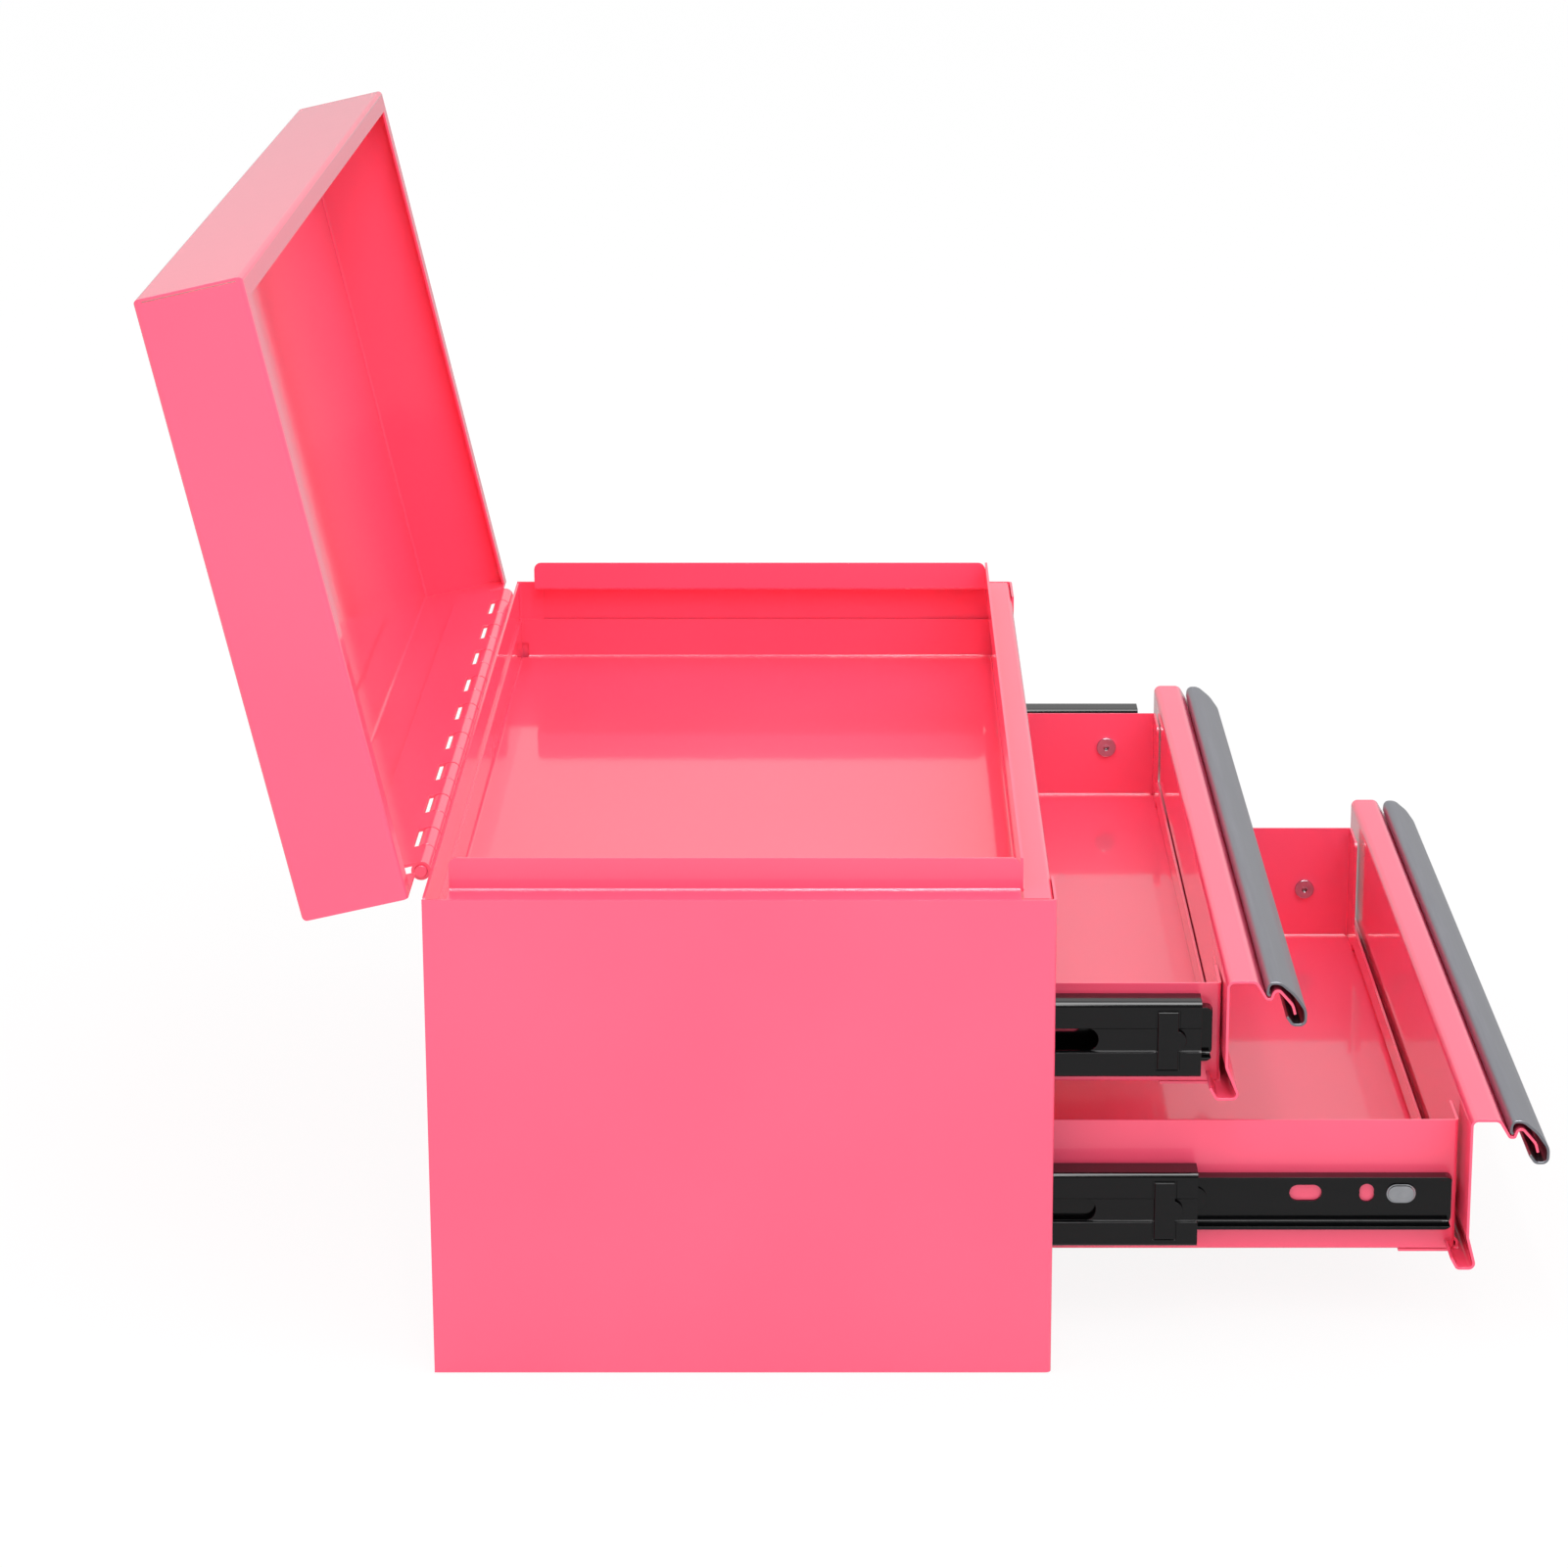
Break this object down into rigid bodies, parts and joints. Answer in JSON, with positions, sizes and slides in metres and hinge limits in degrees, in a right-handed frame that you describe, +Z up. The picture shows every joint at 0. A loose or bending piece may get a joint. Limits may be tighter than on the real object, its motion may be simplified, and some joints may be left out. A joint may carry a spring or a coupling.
{
  "type": "portable tool chest",
  "caption": "Portable sheet-steel tool box with a hinged lid over an open tray, and full-extension drawers with aluminium grips below.",
  "frame": {"origin": "on the floor, under the middle of the case", "axes": "+Z up, the drawers open along -Y, X across the width"},
  "size_m": [0.46, 0.4922, 0.3966],
  "materials": {
    "red_paint": "gloss",
    "black_steel": "satin",
    "aluminium": "satin",
    "bright_steel": "satin"
  },
  "bodies": {
    "case": {"left_side_panel": "red_paint", "right_side_panel": "red_paint", "rear_panel": "red_paint", "base_pan": "red_paint", "front_top_rail": "red_paint", "front_bottom_rail": "red_paint", "top_tray": "red_paint", "left_slide_carrier": "red_paint", "right_slide_carrier": "red_paint", "body_hinge_leaf": "red_paint", "hinge_pin": "red_paint", "member_rivets": "bright_steel", "upper_left_cabinet_member": "black_steel", "upper_right_cabinet_member": "black_steel", "lower_left_cabinet_member": "black_steel", "lower_right_cabinet_member": "black_steel"},
    "lid": {"lid_shell": "red_paint", "lid_hinge_leaf": "red_paint", "handle_brackets": "red_paint"},
    "handle": {"carry_handle": "black_steel"},
    "upper_runners": {"upper_left_intermediate_member": "black_steel", "upper_right_intermediate_member": "black_steel", "upper_stop_clips": "black_steel"},
    "upper_drawer": {"upper_drawer_box": "red_paint", "upper_drawer_front": "red_paint", "upper_drawer_grip": "aluminium", "upper_drawer_rivets": "bright_steel", "upper_left_drawer_member": "black_steel", "upper_right_drawer_member": "black_steel"},
    "upper_outer_cages": {"upper_left_outer_cage": "black_steel", "upper_right_outer_cage": "black_steel", "upper_outer_balls": "bright_steel"},
    "upper_inner_cages": {"upper_left_inner_cage": "black_steel", "upper_right_inner_cage": "black_steel", "upper_inner_balls": "bright_steel"},
    "lower_runners": {"lower_left_intermediate_member": "black_steel", "lower_right_intermediate_member": "black_steel", "lower_stop_clips": "black_steel"},
    "lower_drawer": {"lower_drawer_box": "red_paint", "lower_drawer_front": "red_paint", "lower_drawer_grip": "aluminium", "lower_drawer_rivets": "bright_steel", "lower_left_drawer_member": "black_steel", "lower_right_drawer_member": "black_steel"},
    "lower_outer_cages": {"lower_left_outer_cage": "black_steel", "lower_right_outer_cage": "black_steel", "lower_outer_balls": "bright_steel"},
    "lower_inner_cages": {"lower_left_inner_cage": "black_steel", "lower_right_inner_cage": "black_steel", "lower_inner_balls": "bright_steel"}
  },
  "joints": [
    {"name": "lid_hinge", "type": "hinge", "parent": "case", "child": "lid", "pos_m": [0, 0.114, 0.1773], "axis": [1, 0, 0], "range_deg": [0, 102.75]},
    {"name": "handle_pivot", "type": "hinge", "parent": "lid", "child": "handle", "pos_m": [0, 0.18215, 0.27866], "axis": [1, 0, 0], "range_deg": [-12.75, 167.25]},
    {"name": "upper_runner_slide", "type": "slide", "parent": "case", "child": "upper_runners", "axis": [0, -1, 0], "range_m": [-0.06, 0.035]},
    {"name": "upper_drawer_slide", "type": "slide", "parent": "upper_runners", "child": "upper_drawer", "axis": [0, -1, 0], "range_m": [-0.0025, 0.0975]},
    {"name": "upper_outer_cage_slide", "type": "slide", "parent": "case", "child": "upper_outer_cages", "axis": [0, -1, 0], "range_m": [-0.03, 0.0175]},
    {"name": "upper_inner_cage_slide", "type": "slide", "parent": "upper_runners", "child": "upper_inner_cages", "axis": [0, -1, 0], "range_m": [-0.00125, 0.04875]},
    {"name": "lower_runner_slide", "type": "slide", "parent": "case", "child": "lower_runners", "axis": [0, -1, 0], "range_m": [-0.06, 0.035]},
    {"name": "lower_drawer_slide", "type": "slide", "parent": "lower_runners", "child": "lower_drawer", "axis": [0, -1, 0], "range_m": [-0.0915, 0.0085]},
    {"name": "lower_outer_cage_slide", "type": "slide", "parent": "case", "child": "lower_outer_cages", "axis": [0, -1, 0], "range_m": [-0.03, 0.0175]},
    {"name": "lower_inner_cage_slide", "type": "slide", "parent": "lower_runners", "child": "lower_inner_cages", "axis": [0, -1, 0], "range_m": [-0.04575, 0.00425]}
  ],
  "couplings": [
    {"joint": "upper_outer_cage_slide", "follows": "upper_runner_slide", "ratio": 0.5},
    {"joint": "upper_inner_cage_slide", "follows": "upper_drawer_slide", "ratio": 0.5},
    {"joint": "lower_outer_cage_slide", "follows": "lower_runner_slide", "ratio": 0.5},
    {"joint": "lower_inner_cage_slide", "follows": "lower_drawer_slide", "ratio": 0.5}
  ]
}
